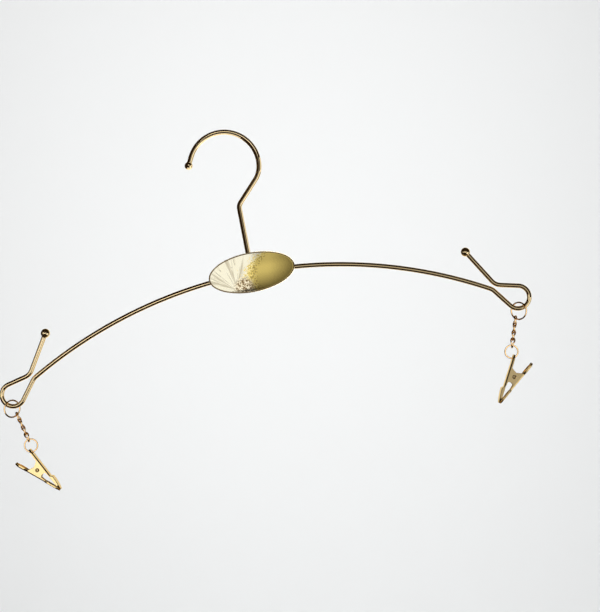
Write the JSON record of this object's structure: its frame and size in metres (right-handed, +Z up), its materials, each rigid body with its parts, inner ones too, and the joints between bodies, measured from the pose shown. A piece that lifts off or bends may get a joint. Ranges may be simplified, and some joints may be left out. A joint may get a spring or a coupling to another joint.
{
  "type": "wire clip hanger",
  "caption": "Gold wire hanger with a round hook, an oval front plate, pinched loops at the arm ends and sprung clips that hang on short chains.",
  "frame": {"origin": "inner top of the hook, where it rests on a rail", "axes": "+X along the arms to the wearer's left as seen from the front, -Y is the front with the plate, +Z up"},
  "size_m": [0.3523, 0.0108, 0.2105],
  "materials": {
    "wire": "polished plated gold",
    "plate": "pale gold, part frosted and part smooth",
    "chain": "warm rose gold plating",
    "clip": "pressed sheet, plated gold",
    "spring": "gold washed spring wire"
  },
  "bodies": {
    "frame": {"arm_wire": "wire", "hook_wire": "wire", "name_plate": "plate", "hook_ball": "wire", "left_arm_ball": "wire", "right_arm_ball": "wire"},
    "left_upper_ring": {"left_upper_ring": "chain"},
    "left_chain_link_1": {"left_chain_link_1": "chain"},
    "left_chain_link_2": {"left_chain_link_2": "chain"},
    "left_chain_link_3": {"left_chain_link_3": "chain"},
    "left_chain_link_4": {"left_chain_link_4": "chain"},
    "left_lower_ring": {"left_lower_ring": "chain"},
    "left_clip": {"left_ring_jaw": "clip", "left_clip_rivet": "clip", "left_clip_spring": "spring"},
    "left_free_jaw": {"left_free_jaw": "clip"},
    "right_upper_ring": {"right_upper_ring": "chain"},
    "right_chain_link_1": {"right_chain_link_1": "chain"},
    "right_chain_link_2": {"right_chain_link_2": "chain"},
    "right_chain_link_3": {"right_chain_link_3": "chain"},
    "right_chain_link_4": {"right_chain_link_4": "chain"},
    "right_lower_ring": {"right_lower_ring": "chain"},
    "right_clip": {"right_ring_jaw": "clip", "right_clip_rivet": "clip", "right_clip_spring": "spring"},
    "right_free_jaw": {"right_free_jaw": "clip"}
  },
  "joints": [
    {"name": "left_upper_ring_swing", "type": "hinge", "parent": "frame", "child": "left_upper_ring", "pos_m": [-0.16477, 0, -0.14666], "axis": [0.982, 0, -0.1891], "range_deg": [-55, 55]},
    {"name": "left_chain_link_1_swing", "type": "hinge", "parent": "left_upper_ring", "child": "left_chain_link_1", "pos_m": [-0.16342, 0.00208, -0.15214], "axis": [0.706, -0.6892, 0.163], "range_deg": [-45, 45]},
    {"name": "left_chain_link_2_swing", "type": "hinge", "parent": "left_chain_link_1", "child": "left_chain_link_2", "pos_m": [-0.16202, 0.00208, -0.15818], "axis": [0.6716, 0.7245, 0.155], "range_deg": [-40, 40]},
    {"name": "left_chain_link_3_swing", "type": "hinge", "parent": "left_chain_link_2", "child": "left_chain_link_3", "pos_m": [-0.16126, 0.00208, -0.16149], "axis": [0.9048, -0.3711, 0.2089], "range_deg": [-40, 40]},
    {"name": "left_chain_link_4_swing", "type": "hinge", "parent": "left_chain_link_3", "child": "left_chain_link_4", "pos_m": [-0.15986, 0.00208, -0.16753], "axis": [0.3616, 0.9286, 0.0835], "range_deg": [-40, 40]},
    {"name": "left_lower_ring_swing", "type": "hinge", "parent": "left_chain_link_4", "child": "left_lower_ring", "pos_m": [-0.15878, 0.00208, -0.17221], "axis": [-0.1841, -0.982, -0.0425], "range_deg": [-50, 50]},
    {"name": "left_clip_swing", "type": "hinge", "parent": "left_lower_ring", "child": "left_clip", "pos_m": [-0.15815, 0.00208, -0.17914], "axis": [1, 0, 0], "range_deg": [-90, 90]},
    {"name": "left_clip_squeeze", "type": "hinge", "parent": "left_clip", "child": "left_free_jaw", "pos_m": [-0.15676, 0.00208, -0.19133], "axis": [0, 1, 0], "range_deg": [0, 30], "stiffness_Nm_per_rad": 0.02, "springref_deg": -20.05, "deforming": ["left_clip_spring"]},
    {"name": "right_upper_ring_swing", "type": "hinge", "parent": "frame", "child": "right_upper_ring", "pos_m": [0.17103, 0, -0.14692], "axis": [0.982, 0, -0.1891], "range_deg": [-55, 55]},
    {"name": "right_chain_link_1_swing", "type": "hinge", "parent": "right_upper_ring", "child": "right_chain_link_1", "pos_m": [0.16815, 0.00147, -0.1523], "axis": [-0.7116, -0.6659, 0.2244], "range_deg": [-45, 45]},
    {"name": "right_chain_link_2_swing", "type": "hinge", "parent": "right_chain_link_1", "child": "right_chain_link_2", "pos_m": [0.16629, 0.00147, -0.15821], "axis": [-0.635, 0.7461, 0.2002], "range_deg": [-40, 40]},
    {"name": "right_chain_link_3_swing", "type": "hinge", "parent": "right_chain_link_2", "child": "right_chain_link_3", "pos_m": [0.16527, 0.00147, -0.16145], "axis": [-0.8911, -0.3563, 0.281], "range_deg": [-40, 40]},
    {"name": "right_chain_link_4_swing", "type": "hinge", "parent": "right_chain_link_3", "child": "right_chain_link_4", "pos_m": [0.1634, 0.00147, -0.16737], "axis": [-0.3398, 0.9344, 0.1071], "range_deg": [-40, 40]},
    {"name": "right_lower_ring_swing", "type": "hinge", "parent": "right_chain_link_4", "child": "right_lower_ring", "pos_m": [0.16196, 0.00147, -0.17195], "axis": [0.1728, -0.9835, -0.0545], "range_deg": [-50, 50]},
    {"name": "right_clip_swing", "type": "hinge", "parent": "right_lower_ring", "child": "right_clip", "pos_m": [0.16112, 0.00147, -0.17882], "axis": [1, 0, 0], "range_deg": [-90, 90]},
    {"name": "right_clip_squeeze", "type": "hinge", "parent": "right_clip", "child": "right_free_jaw", "pos_m": [0.15942, 0.00147, -0.19095], "axis": [0, -1, 0], "range_deg": [0, 30], "stiffness_Nm_per_rad": 0.02, "springref_deg": -20.05, "deforming": ["right_clip_spring"]}
  ]
}
